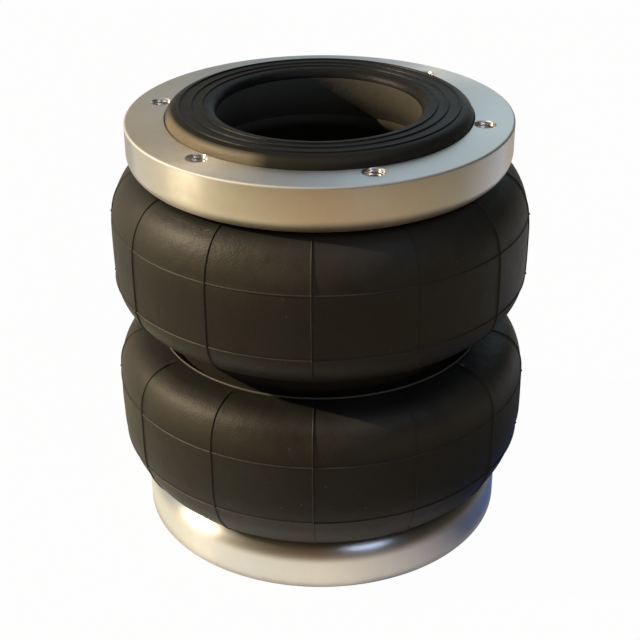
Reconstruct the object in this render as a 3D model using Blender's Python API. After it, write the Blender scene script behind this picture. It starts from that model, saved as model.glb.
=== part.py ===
"""Double-convolution air bellows actuator with two loose flange rings.

The bellows is a turned rubber body with two lobes and a waist. Each end is a wired bead that
stands in the recess of an aluminium ring. Every outline here is drawn as (radius, depth) in
millimetres, where depth runs from the outer face of the nearer ring towards the waist, so the
same outline serves both ends and is turned over for the upper one.
"""
import math

import bmesh
import bpy

MM = 0.001

# Driving dimensions in millimetres
RING_SPAN = 173.0
RING_LAND = 15.7
RING_EDGE_RADIUS = 8.0
THROAT_LAND = 0.2
THROAT_EDGE_RADIUS = 4.0
BOLT_COUNT = 6
BOLT_DRILL = 6.8
BOLT_CHAMFER = 8.6
BOLT_DEPTH = 14.0
BOLT_WEB = 0.15
BOLT_PHASE = -13.0
DRILL_POINT = 118.0

BEAD_DIAMETER = 120.0
BEAD_WIDTH = 20.0
BEAD_EDGE_RADIUS = 4.2
MOUTH_EDGE_RADIUS = 4.0
MOUTH_TAPER = 0.8
SEAL_RIBS = 3
SEAL_RIB_HEIGHT = 0.5
SEAL_RIB_HALF_WIDTH = 0.7
SEAL_RIB_MARGIN = 1.4
CORE_RADIUS = 2.8
CORE_INSET = 6.6
CORE_DEPTH = 8.2
HOOK_TAIL = 1.4
HOOK_STAGGER = 1.0
CAP_LAP = 0.8
HEEL_BAND = 1.2
HEEL_HEIGHT = 4.5
NECK_WALL = 3.1
LINER_LAP = 3.8
TOE_LENGTH = 4.5
TOE_FLAT = 1.0

LOBE_OVERHANG = 8.4
LOBE_DEPTH = 21.7
BAND_WIDTH = 26.0
CROWN_RADIUS = 16.0
CROWN_EASE = 0.5
WAIST_HEIGHT = 12.4
WAIST_FILLET = 5.0
WAIST_DISH = 0.8
COVER_WALL = 2.0
PLY_WALL = 0.6
LINER_WALL = 1.4
HOOP_RADIUS = 3.0
HOOP_COVER = 1.0
MOULD_RIBS = 13
MOULD_RIB_PHASE = -92.27
MOULD_RIB_HALF_WIDTH = 0.8
MOULD_RIB_HEIGHT = 0.6
MOULD_LINE_HEIGHT = 0.4

GAP = 0.3
LIP_CLEARANCE = 0.9

# The ring's own weight seats the upper one on its lobe and drops the lower one to the floor,
# so the two ends differ: how far the bead stands out of the ring, how many facets of the ring's
# rounded edge the rubber follows, and how full the lobe's shoulder is.
UPPER = {"proud": 5.0, "followed": 3, "bulge": 0.6}
LOWER = {"proud": 0.0, "followed": 1, "bulge": 1.9}

# How finely round stretches are drawn
RING_COLUMNS = 39
LAYER_COLUMNS = 26
COLUMNS_PER_RIB = 4
DRILL_SIDES = 10
RING_EDGE_STEPS = 4
THROAT_STEPS = 2
HOOK_STEPS = 3

# Bead sizes that follow, with depths counted from the bead's own face
BEAD_R = BEAD_DIAMETER / 2
MOUTH_R = BEAD_R - BEAD_WIDTH
CORE_CENTRE = (BEAD_R - CORE_INSET, CORE_DEPTH)
HOOK_R = CORE_RADIUS + GAP
PLY_PITCH = PLY_WALL + GAP
POCKET_HALF = HOOK_R + 2 * PLY_PITCH
PLY_NECK_R = CORE_CENTRE[0] - HOOK_R
LINER_NECK_R = PLY_NECK_R - 2 * PLY_PITCH
LINER_START = CORE_DEPTH + LINER_LAP
TOE_R = LINER_NECK_R - LINER_WALL - GAP
BEAD_CAP = CORE_DEPTH + CAP_LAP
BEAD_WALL = BEAD_CAP + GAP + HEEL_BAND
HEEL_END = BEAD_WALL + HEEL_HEIGHT

# Ring sizes that follow, with depths counted from the ring's outer face
RECESS_R = BEAD_R + GAP
RING_R = RECESS_R + RING_LAND
BOLT_CIRCLE_R = RECESS_R + BOLT_CHAMFER / 2 + BOLT_WEB
NECK_R = PLY_NECK_R + GAP + NECK_WALL
THROAT_R = NECK_R + GAP
SEAT_DEPTH = BEAD_WALL + GAP
RING_THICKNESS = SEAT_DEPTH + HEEL_HEIGHT + THROAT_LAND + THROAT_EDGE_RADIUS
RING_CORNER = (RING_R - RING_EDGE_RADIUS, RING_THICKNESS - RING_EDGE_RADIUS)
THROAT_CORNER = (THROAT_R + THROAT_EDGE_RADIUS, RING_THICKNESS - THROAT_EDGE_RADIUS)

# Lobe and waist sizes that follow
LOBE_R = RING_R + LOBE_OVERHANG
WAIST_R = LOBE_R - LOBE_DEPTH
WAIST_EDGE = RING_SPAN / 2 - WAIST_HEIGHT / 2
BAND_END = WAIST_EDGE - CROWN_RADIUS - CROWN_EASE
BAND_START = BAND_END - BAND_WIDTH
HOOP_CENTRE_R = WAIST_R - WAIST_DISH - HOOP_COVER - GAP - HOOP_RADIUS
HOOP_IN_R = HOOP_CENTRE_R - HOOP_RADIUS
WAIST_PLY_R = HOOP_IN_R - 2 * GAP
COVER_LAP_R = WAIST_PLY_R + WAIST_FILLET + GAP


def remove_everything():
    for thing in list(bpy.data.objects):
        bpy.data.objects.remove(thing, do_unlink=True)


def material(name, colour, roughness, metallic=0.0):
    made = bpy.data.materials.new(name)
    made.use_nodes = True
    shader = made.node_tree.nodes["Principled BSDF"]
    shader.inputs["Base Color"].default_value = (*colour, 1.0)
    shader.inputs["Roughness"].default_value = roughness
    shader.inputs["Metallic"].default_value = metallic
    return made


def arc(centre, radius, start, end, steps):
    """Points on an arc from one angle to another, both ends included, in degrees."""
    angles = [math.radians(start + (end - start) * i / steps) for i in range(steps + 1)]
    return [(centre[0] + radius * math.cos(a), centre[1] + radius * math.sin(a)) for a in angles]


def bowed(start, end, bulge, steps):
    """A shallow arc from start to end that stands out by bulge to the right of its run."""
    run = (end[0] - start[0], end[1] - start[1])
    length = math.hypot(*run)
    side = (run[1] / length, -run[0] / length)
    points = []
    for i in range(steps + 1):
        t = i / steps
        out = 4 * bulge * t * (1 - t)
        points.append((start[0] + run[0] * t + side[0] * out, start[1] + run[1] * t + side[1] * out))
    return points


def crossing(p, along_p, q, along_q):
    """Where the line through p meets the line through q."""
    cross = along_p[0] * along_q[1] - along_p[1] * along_q[0]
    t = ((q[0] - p[0]) * along_q[1] - (q[1] - p[1]) * along_q[0]) / cross
    return (p[0] + along_p[0] * t, p[1] + along_p[1] * t)


def layer_line(corners, depth):
    """A path through corners (radius, depth, fillet, steps), moved to its left by depth.

    Fillets stay concentric, so lines at two depths bound a layer of even thickness.
    """
    points = [corner[:2] for corner in corners]
    runs = []
    for a, b in zip(points, points[1:]):
        length = math.hypot(b[0] - a[0], b[1] - a[1])
        runs.append(((b[0] - a[0]) / length, (b[1] - a[1]) / length))
    moved = [(p[0] - run[1] * depth, p[1] + run[0] * depth) for p, run in zip(points, runs)]
    line = [moved[0]]
    for i in range(1, len(points) - 1):
        before, after = runs[i - 1], runs[i]
        corner = crossing(moved[i - 1], before, moved[i], after)
        fillet, steps = corners[i][2:]
        turn = before[0] * after[1] - before[1] * after[0]
        if not fillet:
            line.append(corner)
            continue
        left = 1 if turn > 0 else -1
        radius = fillet - left * depth
        angle = math.acos(before[0] * after[0] + before[1] * after[1])
        back = radius * math.tan(angle / 2)
        start = (corner[0] - before[0] * back, corner[1] - before[1] * back)
        centre = (start[0] - left * before[1] * radius, start[1] + left * before[0] * radius)
        first = math.degrees(math.atan2(start[1] - centre[1], start[0] - centre[0]))
        line += arc(centre, radius, first, first + left * math.degrees(angle), steps)
    last, run = points[-1], runs[-1]
    line.append((last[0] - run[1] * depth, last[1] + run[0] * depth))
    return line


def place(outline, end):
    """Outline depths as heights above the floor, for the lower or the upper end."""
    if end is LOWER:
        return list(outline)
    return [(radius, RING_SPAN - depth) for radius, depth in outline]


def even_columns(count):
    """Evenly spaced columns that start on a mould rib's crest."""
    return [math.radians(MOULD_RIB_PHASE + 360 * i / count) for i in range(count)]


def ribbed_columns():
    """Columns for a surface with mould ribs: both feet and the crest of each rib, and one between."""
    foot = MOULD_RIB_HALF_WIDTH / LOBE_R
    columns = []
    for crest in even_columns(MOULD_RIBS):
        columns += [crest - foot, crest, crest + foot, crest + math.pi / MOULD_RIBS]
    return columns


def turned(name, outline, columns, finish, parent, lifted=None):
    """A closed outline turned about Z. lifted moves the points that a rib's crest raises."""
    mesh = bmesh.new()
    loops = []
    for number, angle in enumerate(columns):
        drawn = lifted if lifted and number % COLUMNS_PER_RIB == 1 else outline
        cosine, sine = math.cos(angle), math.sin(angle)
        loops.append([mesh.verts.new((r * cosine * MM, r * sine * MM, z * MM)) for r, z in drawn])
    count = len(outline)
    for this, following in zip(loops, loops[1:] + loops[:1]):
        for i in range(count):
            j = (i + 1) % count
            mesh.faces.new((this[i], this[j], following[j], following[i]))
    bmesh.ops.recalc_face_normals(mesh, faces=mesh.faces)
    data = bpy.data.meshes.new(name)
    mesh.to_mesh(data)
    mesh.free()
    data.shade_smooth()
    data.set_sharp_from_angle(angle=math.radians(35))
    data.materials.append(finish)
    made = bpy.data.objects.new(name, data)
    bpy.context.scene.collection.objects.link(made)
    made.parent = parent
    return made


def body_axis(name):
    """An empty on the bellows' axis that carries one moving group."""
    axis = bpy.data.objects.new(name, None)
    axis.empty_display_size = 0.02
    bpy.context.scene.collection.objects.link(axis)
    return axis


def ring_outline():
    """Flange ring: bead recess, seat cone, throat, and the rounded edge over the lobe."""
    edge = arc(RING_CORNER, RING_EDGE_RADIUS, 0, 90, RING_EDGE_STEPS)
    throat = arc(THROAT_CORNER, THROAT_EDGE_RADIUS, 90, 180, THROAT_STEPS)
    seat = [(THROAT_R, SEAT_DEPTH + HEEL_HEIGHT), (RECESS_R, SEAT_DEPTH), (RECESS_R, 0)]
    return [(RING_R, 0)] + edge + throat + seat


def bolt_cutters(name, end, parent):
    """Tap drills with a countersink and a drill point, one object for the whole circle."""
    chamfer_r, drill_r = BOLT_CHAMFER / 2, BOLT_DRILL / 2
    lead = chamfer_r - drill_r
    steps = [(-lead, chamfer_r + lead), (lead, drill_r), (BOLT_DEPTH, drill_r)]
    point = BOLT_DEPTH + drill_r / math.tan(math.radians(DRILL_POINT / 2))
    mesh = bmesh.new()
    face, inward = (0.0, 1.0) if end is LOWER else (RING_SPAN, -1.0)
    for bolt in range(BOLT_COUNT):
        around = math.radians(BOLT_PHASE + 360 / BOLT_COUNT * bolt)
        centre = (BOLT_CIRCLE_R * math.cos(around), BOLT_CIRCLE_R * math.sin(around))
        loops = []
        for depth, radius in steps:
            loop = []
            for side in range(DRILL_SIDES):
                angle = around + 2 * math.pi * (side + 0.5) / DRILL_SIDES
                x = centre[0] + radius * math.cos(angle)
                y = centre[1] + radius * math.sin(angle)
                loop.append(mesh.verts.new((x * MM, y * MM, (face + inward * depth) * MM)))
            loops.append(loop)
        tip = mesh.verts.new((centre[0] * MM, centre[1] * MM, (face + inward * point) * MM))
        mesh.faces.new(loops[0])
        for i in range(DRILL_SIDES):
            j = (i + 1) % DRILL_SIDES
            for upper, under in zip(loops, loops[1:]):
                mesh.faces.new((upper[i], upper[j], under[j], under[i]))
            mesh.faces.new((loops[-1][i], loops[-1][j], tip))
    bmesh.ops.recalc_face_normals(mesh, faces=mesh.faces)
    data = bpy.data.meshes.new(name)
    mesh.to_mesh(data)
    mesh.free()
    cutter = bpy.data.objects.new(name, data)
    cutter.hide_render = True
    cutter.display_type = "WIRE"
    bpy.context.scene.collection.objects.link(cutter)
    cutter.parent = parent
    return cutter


def flange_ring(name, end, finish, parent):
    ring = turned(name, place(ring_outline(), end), even_columns(RING_COLUMNS), finish, parent)
    holes = ring.modifiers.new("tapped holes", "BOOLEAN")
    holes.operation = "DIFFERENCE"
    holes.object = bolt_cutters(name + "_drills", end, parent)
    return ring


def seal_outline():
    """Bead cap: rounded heel, ribbed sealing face, mouth and toe, open below for the plies."""
    edge = (BEAD_R - BEAD_EDGE_RADIUS, BEAD_EDGE_RADIUS + SEAL_RIB_HEIGHT)
    mouth = (MOUTH_R + MOUTH_EDGE_RADIUS, MOUTH_EDGE_RADIUS + SEAL_RIB_HEIGHT)
    outermost, innermost = edge[0] - SEAL_RIB_MARGIN, mouth[0] + SEAL_RIB_MARGIN
    face = [(BEAD_R, BEAD_CAP)] + arc(edge, BEAD_EDGE_RADIUS, 0, -90, 3)
    for rib in range(SEAL_RIBS):
        radius = outermost + (innermost - outermost) * rib / (SEAL_RIBS - 1)
        face += [
            (radius + SEAL_RIB_HALF_WIDTH, SEAL_RIB_HEIGHT),
            (radius, 0),
            (radius - SEAL_RIB_HALF_WIDTH, SEAL_RIB_HEIGHT),
        ]
    face += arc(mouth, MOUTH_EDGE_RADIUS, -90, -180, 2)
    toe = [
        (MOUTH_R + MOUTH_TAPER, CORE_DEPTH + CORE_RADIUS),
        (TOE_R - TOE_FLAT, LINER_START + TOE_LENGTH),
        (TOE_R, LINER_START + TOE_LENGTH),
        (TOE_R, LINER_START),
        (LINER_NECK_R, LINER_START),
    ]
    pocket = arc(CORE_CENTRE, POCKET_HALF, 180, 360, HOOK_STEPS)
    return face + toe + pocket + [(CORE_CENTRE[0] + POCKET_HALF, BEAD_CAP)]


def core_outline():
    """Bundle of bead wire, hexagonal as it is wound."""
    return arc(CORE_CENTRE, CORE_RADIUS, 0, 300, 5)


def neck_line():
    """The side of the cover's neck that the hook's tail, the filler and the plies lie against."""
    pocket = CORE_CENTRE[0] + POCKET_HALF
    return [
        (pocket, BEAD_CAP + GAP),
        (pocket, CORE_DEPTH + HOOK_TAIL + GAP),
        (PLY_NECK_R + GAP, HEEL_END + GAP),
    ]


def filler_outline():
    """Wedge between the core, the plies and the neck's slope."""
    top = CORE_DEPTH + CORE_RADIUS + GAP
    inner = PLY_NECK_R + GAP
    start, end = neck_line()[1:]
    run = (end[0] - start[0], end[1] - start[1])
    length = math.hypot(*run)
    on_slope = (start[0] - run[1] / length * GAP, start[1] + run[0] / length * GAP)
    return [
        (inner, top),
        crossing(on_slope, run, (inner, top), (1, 0)),
        crossing(on_slope, run, (inner, top), (0, 1)),
    ]


def on_face(outline, end):
    """Bead outlines count their depth from the bead's own face, which stands proud of the ring."""
    return [(radius, depth - end["proud"]) for radius, depth in outline]


def hug_line(end):
    """The rubber's run round the ring's rounded edge, on the same facets as the ring."""
    whole = arc(RING_CORNER, RING_EDGE_RADIUS + LIP_CLEARANCE, 90, 0, RING_EDGE_STEPS)
    return whole[:end["followed"] + 1]


def shoulder_ends(end):
    """Where the free shoulder leaves the ring's rounded edge, and where the flat band starts."""
    return hug_line(end)[-1], (LOBE_R, BAND_START)


def wall_corners(end):
    """The ply's outer side from the bead to the waist, as corners with their fillets."""
    lip, band = shoulder_ends(end)
    under_ring = RING_THICKNESS + GAP + COVER_WALL + GAP
    inside = COVER_WALL + GAP
    run = (band[0] - lip[0], band[1] - lip[1])
    length = math.hypot(*run)
    on_shoulder = (lip[0] - run[1] / length * inside, lip[1] + run[0] / length * inside)
    turn_out = crossing(on_shoulder, run, (0, under_ring), (1, 0))
    band_foot = crossing(on_shoulder, run, (LOBE_R - inside, 0), (0, 1))
    top = WAIST_EDGE - inside
    return [
        (PLY_NECK_R, CORE_CENTRE[1] - end["proud"], 0, 0),
        (PLY_NECK_R, under_ring, under_ring - THROAT_CORNER[1], 2),
        (*turn_out, 0, 0),
        (*band_foot, 0, 0),
        (LOBE_R - inside, top, CROWN_RADIUS - inside, 2),
        (WAIST_PLY_R, top, WAIST_FILLET, 1),
        (WAIST_PLY_R, RING_SPAN / 2 - GAP / 2, 0, 0),
    ]


def cover_outline(end, lift=0.0):
    """Outer rubber: heel and neck inside the ring, shoulder, flat band and the lap at the waist."""
    lip, band = shoulder_ends(end)
    heel = on_face([(BEAD_R, BEAD_CAP + GAP), (BEAD_R, BEAD_WALL), (NECK_R, HEEL_END)], end)
    throat = arc(THROAT_CORNER, THROAT_EDGE_RADIUS + GAP, 180, 90, THROAT_STEPS)
    shoulder = bowed(lip, band, end["bulge"], 2)[1:-1]
    edges = [(LOBE_R + MOULD_LINE_HEIGHT, BAND_START), (LOBE_R + MOULD_LINE_HEIGHT, BAND_END)]
    crown = arc((LOBE_R - CROWN_RADIUS, WAIST_EDGE - CROWN_RADIUS), CROWN_RADIUS, 0, 90, 3)
    free = [(r + lift, s) for r, s in shoulder + edges + crown[:-1]]
    free.append((crown[-1][0], crown[-1][1] + lift / 2))
    lap = [(WAIST_R, WAIST_EDGE), (COVER_LAP_R, WAIST_EDGE), (COVER_LAP_R, WAIST_EDGE - COVER_WALL)]
    inside = layer_line(wall_corners(end), -GAP)[1:-3]
    neck = on_face(neck_line(), end)
    return heel + throat + hug_line(end) + free + lap + inside[::-1] + neck[::-1]


def ply_outline(end, number):
    """One cord ply, counted from the outside: from the waist to the neck, hooked over the core."""
    start = number * PLY_PITCH
    core = on_face([CORE_CENTRE], end)[0]
    tail = core[1] + HOOK_TAIL - number * HOOK_STAGGER
    near, far = HOOK_R + start, HOOK_R + start + PLY_WALL
    hook_in = [(core[0] + near, tail)] + arc(core, near, 360, 180, HOOK_STEPS)[:-1]
    hook_out = arc(core, far, 180, 360, HOOK_STEPS)[1:] + [(core[0] + far, tail)]
    outer = layer_line(wall_corners(end), start)
    inner = layer_line(wall_corners(end), start + PLY_WALL)
    return hook_in + outer + inner[::-1] + hook_out


def liner_outline(end):
    """Air-tight lining from the toe of the bead to the waist."""
    start = on_face([(LINER_NECK_R, LINER_START + GAP)], end)[0][1]
    lines = []
    for depth in (2 * PLY_PITCH, 2 * PLY_PITCH + LINER_WALL):
        line = layer_line(wall_corners(end), depth)
        lines.append([(line[0][0], start)] + line[1:])
    return lines[0] + lines[1][::-1]


def hoop_outline():
    return arc((HOOP_CENTRE_R, RING_SPAN / 2), HOOP_RADIUS, 0, 315, 7)


def girdle_outline():
    """Moulded waist band, open on its inner side for the hoop."""
    middle = RING_SPAN / 2
    low, high = WAIST_EDGE + GAP, RING_SPAN - WAIST_EDGE - GAP
    pocket = HOOP_RADIUS + GAP
    channel = arc((HOOP_CENTRE_R, middle), pocket, 90, -90, 4)
    return (
        [(WAIST_R, low), (WAIST_R - WAIST_DISH, middle), (WAIST_R, high), (HOOP_CENTRE_R, high)]
        + [(HOOP_IN_R, middle + pocket + GAP), (HOOP_IN_R, middle + pocket)]
        + channel
        + [(HOOP_IN_R, middle - pocket), (HOOP_IN_R, middle - pocket - GAP), (HOOP_CENTRE_R, low)]
    )


def build():
    remove_everything()
    aluminium = material("turned_aluminium", (0.62, 0.6, 0.57), 0.32, 1.0)
    cover_rubber = material("cover_rubber", (0.022, 0.021, 0.019), 0.5)
    seal_rubber = material("seal_rubber", (0.026, 0.025, 0.023), 0.45)
    liner_rubber = material("liner_rubber", (0.04, 0.038, 0.035), 0.6)
    cord = material("rubbered_cord", (0.25, 0.2, 0.14), 0.8)
    filler_rubber = material("filler_rubber", (0.05, 0.045, 0.04), 0.7)
    wire = material("bead_wire", (0.55, 0.42, 0.25), 0.35, 1.0)
    steel = material("hoop_steel", (0.5, 0.5, 0.5), 0.3, 1.0)

    ends = {
        "lower": (LOWER, body_axis("lower_ring_axis"), body_axis("lower_bead_axis")),
        "upper": (UPPER, body_axis("upper_ring_axis"), body_axis("upper_bead_axis")),
    }
    girdle = body_axis("girdle_axis")
    coarse = even_columns(LAYER_COLUMNS)
    for side, (end, ring_axis, bead_axis) in ends.items():
        flange_ring(side + "_flange_ring", end, aluminium, ring_axis)
        seal = place(on_face(seal_outline(), end), end)
        turned(side + "_bead_seal", seal, coarse, seal_rubber, bead_axis)
        turned(side + "_bead_core", place(on_face(core_outline(), end), end), coarse, wire, bead_axis)
        filler = place(on_face(filler_outline(), end), end)
        turned(side + "_bead_filler", filler, coarse, filler_rubber, bead_axis)
        cover = place(cover_outline(end), end)
        lifted = place(cover_outline(end, MOULD_RIB_HEIGHT), end)
        turned(side + "_outer_cover", cover, ribbed_columns(), cover_rubber, bead_axis, lifted)
        for number, ply in enumerate(("_crossed_ply", "_cord_ply")):
            turned(side + ply, place(ply_outline(end, number), end), coarse, cord, bead_axis)
        turned(side + "_inner_liner", place(liner_outline(end), end), coarse, liner_rubber, bead_axis)
    turned("girdle_hoop", hoop_outline(), coarse, steel, girdle)
    turned("girdle_band", girdle_outline(), coarse, cover_rubber, girdle)


build()
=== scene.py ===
"""Dressed model of an air bellows actuator with two lobes.

The sections follow the bellows as it is put together: flange rings, bead wires, bead seals, cord
plies, inner liners, outer covers and the waist band, then the studio. Lengths are in millimetres
and depths run from the outer face of the nearer flange ring towards the waist, so that one outline
serves both ends. Shaders and the studio work in metres.
"""
import math

import bmesh
import bpy
from mathutils import Matrix, Vector


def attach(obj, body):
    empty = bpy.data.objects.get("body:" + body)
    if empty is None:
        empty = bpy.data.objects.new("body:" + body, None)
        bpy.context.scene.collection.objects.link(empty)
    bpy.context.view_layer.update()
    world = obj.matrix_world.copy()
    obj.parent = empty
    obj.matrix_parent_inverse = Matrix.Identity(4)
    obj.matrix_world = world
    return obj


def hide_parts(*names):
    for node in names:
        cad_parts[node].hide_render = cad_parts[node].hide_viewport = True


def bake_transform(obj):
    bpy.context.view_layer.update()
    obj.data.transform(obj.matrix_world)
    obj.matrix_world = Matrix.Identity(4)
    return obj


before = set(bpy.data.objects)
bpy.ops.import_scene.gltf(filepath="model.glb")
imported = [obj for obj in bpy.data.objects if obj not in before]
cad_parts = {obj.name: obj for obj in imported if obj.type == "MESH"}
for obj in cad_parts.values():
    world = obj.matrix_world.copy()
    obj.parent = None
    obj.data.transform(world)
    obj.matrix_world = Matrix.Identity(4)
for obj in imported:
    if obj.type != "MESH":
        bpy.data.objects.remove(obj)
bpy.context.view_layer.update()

# Flange rings. Two aluminium rings, turned on a lathe from plate and drilled and tapped for M8 end
# plate bolts. They hang loose on the beads: the upper one has dropped 5 mm on its lobe.

MM = 0.001
ENDS = ("lower", "upper")
RING_SPAN = 173.0
RING_RADIUS = 76.0
RING_THICKNESS = 19.5
RING_RIM_RADIUS = 0.8
THROAT_RADIUS = 54.0
RECESS_RADIUS = 60.3
RECESS_CHAMFER = 0.3
SEAT_DEPTH = 10.8
SEAT_HEIGHT = 4.5
RING_EDGE_RADIUS = 8.0
RING_EDGE_CENTRE = (RING_RADIUS - RING_EDGE_RADIUS, RING_THICKNESS - RING_EDGE_RADIUS)
THROAT_EDGE_RADIUS = 4.0
THROAT_EDGE_CENTRE = (THROAT_RADIUS + THROAT_EDGE_RADIUS, RING_THICKNESS - THROAT_EDGE_RADIUS)
BOLT_CIRCLE_RADIUS = 64.75
BOLT_COUNT = 6
BOLT_PHASE = -13.0
THREAD_MAJOR = 4.0
THREAD_MINOR = 3.4
THREAD_PITCH = 1.25
THREAD_TURNS = 9
THREAD_CLEARANCE = 0.05
HOLE_CHAMFER = 4.4
HOLE_DEPTH = 14.0
DRILL_POINT_SLOPE = 31.0
CUT_OVERSHOOT = 1.0
RING_COLUMNS = 288
SHARP_ANGLE = 30

# Sockets of a colour mix: its share, its two colours, and the mixed colour that comes out.
MIX_SHARE = 0
MIX_ONE = 6
MIX_OTHER = 7
MIXED = 2


def linear(hex_colour):
    """A colour written as sRGB hex, as the linear values that the shaders take."""
    channels = [int(hex_colour[i:i + 2], 16) / 255 for i in (1, 3, 5)]
    return tuple(c / 12.92 if c <= 0.04045 else ((c + 0.055) / 1.055) ** 2.4 for c in channels) + (1.0,)


def add_node(tree, kind, settings=None, values=None, links=None):
    """One shader node with its settings, its socket values and what is linked into it."""
    node = tree.nodes.new(kind)
    for name, value in (settings or {}).items():
        setattr(node, name, value)
    for name, value in (values or {}).items():
        node.inputs[name].default_value = value
    for name, source in (links or {}).items():
        tree.links.new(source, node.inputs[name])
    return node


def new_material(name):
    """A material with its node tree and its principled shader, ready for a pattern."""
    made = bpy.data.materials.new(name)
    made.use_nodes = True
    return made, made.node_tree, made.node_tree.nodes["Principled BSDF"]


def distance_from_axis(tree, here):
    """The socket that says how far a point lies from the bellows' axis."""
    flat = add_node(tree, "ShaderNodeVectorMath", {"operation": "MULTIPLY"}, {1: (1.0, 1.0, 0.0)}, {0: here})
    far = add_node(tree, "ShaderNodeVectorMath", {"operation": "LENGTH"}, links={0: flat.outputs["Vector"]})
    return far.outputs["Value"]


def arc(centre, radius, start, end, steps):
    """Points on an arc between two angles in degrees, both ends included."""
    angles = [math.radians(start + (end - start) * i / steps) for i in range(steps + 1)]
    return [(centre[0] + radius * math.cos(a), centre[1] + radius * math.sin(a)) for a in angles]


def flip(depth, end):
    """A depth at one end as a height above the floor, or such a height as a depth."""
    return depth if end == "lower" else RING_SPAN - depth


def place(outline, end):
    """An outline's depths as heights above the floor."""
    return [(radius, flip(depth, end)) for radius, depth in outline]


def even_columns(count, phase=0.0):
    """Evenly spaced angles round the axis, in radians."""
    return [math.radians(phase + 360 * i / count) for i in range(count)]


def finish_mesh(name, mesh, finish, sharp_angle=SHARP_ANGLE):
    """A shaded object from a bmesh, with its faces pointing out."""
    bmesh.ops.recalc_face_normals(mesh, faces=mesh.faces)
    data = bpy.data.meshes.new(name)
    mesh.to_mesh(data)
    mesh.free()
    data.shade_smooth()
    data.set_sharp_from_angle(angle=math.radians(sharp_angle))
    data.materials.append(finish)
    made = bpy.data.objects.new(name, data)
    bpy.context.scene.collection.objects.link(made)
    return made


def turned(name, outline, columns, finish, lift=None, sharp_angle=SHARP_ANGLE):
    """A closed outline (radius, height) turned about the axis. lift(number, column) raises a point."""
    mesh = bmesh.new()
    loops = []
    for column, angle in enumerate(columns):
        cosine, sine = math.cos(angle) * MM, math.sin(angle) * MM
        loop = []
        for number, (radius, height) in enumerate(outline):
            if lift:
                radius, height = lift(number, column)
            loop.append(mesh.verts.new((radius * cosine, radius * sine, height * MM)))
        loops.append(loop)
    for this, following in zip(loops, loops[1:] + loops[:1]):
        for i in range(len(outline)):
            j = (i + 1) % len(outline)
            mesh.faces.new((this[i], this[j], following[j], following[i]))
    return finish_mesh(name, mesh, finish, sharp_angle)


def finish_faces(piece, end, finish, chosen):
    """Gives a second material to the faces that chosen(radius, depth) picks by their middle."""
    piece.data.materials.append(finish)
    for face in piece.data.polygons:
        if chosen(face.center.xy.length / MM, flip(face.center.z / MM, end)):
            face.material_index = 1


def turned_aluminium():
    """Bare aluminium off the lathe: fine concentric tool marks that stretch each light into a streak
    across them, and faint clouding where hands and coolant have dulled it."""
    made, tree, shader = new_material("turned_aluminium")
    here = add_node(tree, "ShaderNodeTexCoord").outputs["Object"]
    parts = add_node(tree, "ShaderNodeSeparateXYZ", links={"Vector": here})
    across = add_node(
        tree, "ShaderNodeMath", {"operation": "ADD"},
        links={0: distance_from_axis(tree, here), 1: parts.outputs["Z"]},
    )
    # Tool marks 0.3 mm apart on the lathe are drawn 0.9 mm apart, so that they show. The clouds are
    # about 17 mm across and the pits 1 mm.
    marks = add_node(
        tree, "ShaderNodeTexNoise", {"noise_dimensions": "1D"},
        {"Scale": 1100.0, "Detail": 3.0, "Roughness": 0.6}, {"W": across.outputs["Value"]},
    )
    clouds = add_node(
        tree, "ShaderNodeTexNoise", None,
        {"Scale": 60.0, "Detail": 5.0, "Roughness": 0.7}, {"Vector": here},
    )
    pits = add_node(tree, "ShaderNodeTexNoise", None, {"Scale": 900.0, "Detail": 2.0}, {"Vector": here})
    colour = add_node(
        tree, "ShaderNodeMix", {"data_type": "RGBA"},
        {MIX_ONE: linear("#d8d5cf"), MIX_OTHER: linear("#f2f0eb")}, {MIX_SHARE: clouds.outputs["Fac"]},
    )
    tree.links.new(colour.outputs[MIXED], shader.inputs["Base Color"])
    dulled = add_node(
        tree, "ShaderNodeMapRange", None,
        {"From Min": 0.3, "From Max": 0.7, "To Min": 0.3, "To Max": 0.34}, {"Value": clouds.outputs["Fac"]},
    )
    tree.links.new(dulled.outputs["Result"], shader.inputs["Roughness"])
    surface = add_node(
        tree, "ShaderNodeMath", {"operation": "MULTIPLY_ADD"}, {1: 0.08},
        {0: pits.outputs["Fac"], 2: marks.outputs["Fac"]},
    )
    bump = add_node(
        tree, "ShaderNodeBump", None,
        {"Strength": 0.2, "Distance": 0.00002}, {"Height": surface.outputs["Value"]},
    )
    tree.links.new(bump.outputs["Normal"], shader.inputs["Normal"])
    around = add_node(tree, "ShaderNodeTangent", {"direction_type": "RADIAL", "axis": "Z"})
    tree.links.new(around.outputs["Tangent"], shader.inputs["Tangent"])
    shader.inputs["Metallic"].default_value = 1.0
    shader.inputs["Anisotropic"].default_value = 0.83
    shader.inputs["Anisotropic Rotation"].default_value = 0.25
    return made


def deburred_edge():
    """The rim where a file has broken the sharp edge: it has no tool marks and catches light from
    every side."""
    made, _, shader = new_material("deburred_edge")
    shader.inputs["Base Color"].default_value = linear("#cfd0cf")
    shader.inputs["Metallic"].default_value = 1.0
    shader.inputs["Roughness"].default_value = 0.7
    return made


def ring_outline():
    """A ring's section: its rim, rounded edge, throat, and the seat and recess for the bead."""
    rim_centre = (RING_RADIUS - RING_RIM_RADIUS, RING_RIM_RADIUS)
    seat = [
        (THROAT_RADIUS, SEAT_DEPTH + SEAT_HEIGHT),
        (RECESS_RADIUS, SEAT_DEPTH),
        (RECESS_RADIUS, RECESS_CHAMFER),
        (RECESS_RADIUS + RECESS_CHAMFER, 0),
    ]
    return (
        arc(rim_centre, RING_RIM_RADIUS, -90, 0, 4)
        + arc(RING_EDGE_CENTRE, RING_EDGE_RADIUS, 0, 90, 20)
        + arc(THROAT_EDGE_CENTRE, THROAT_EDGE_RADIUS, 90, 180, 10)
        + seat
    )


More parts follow.
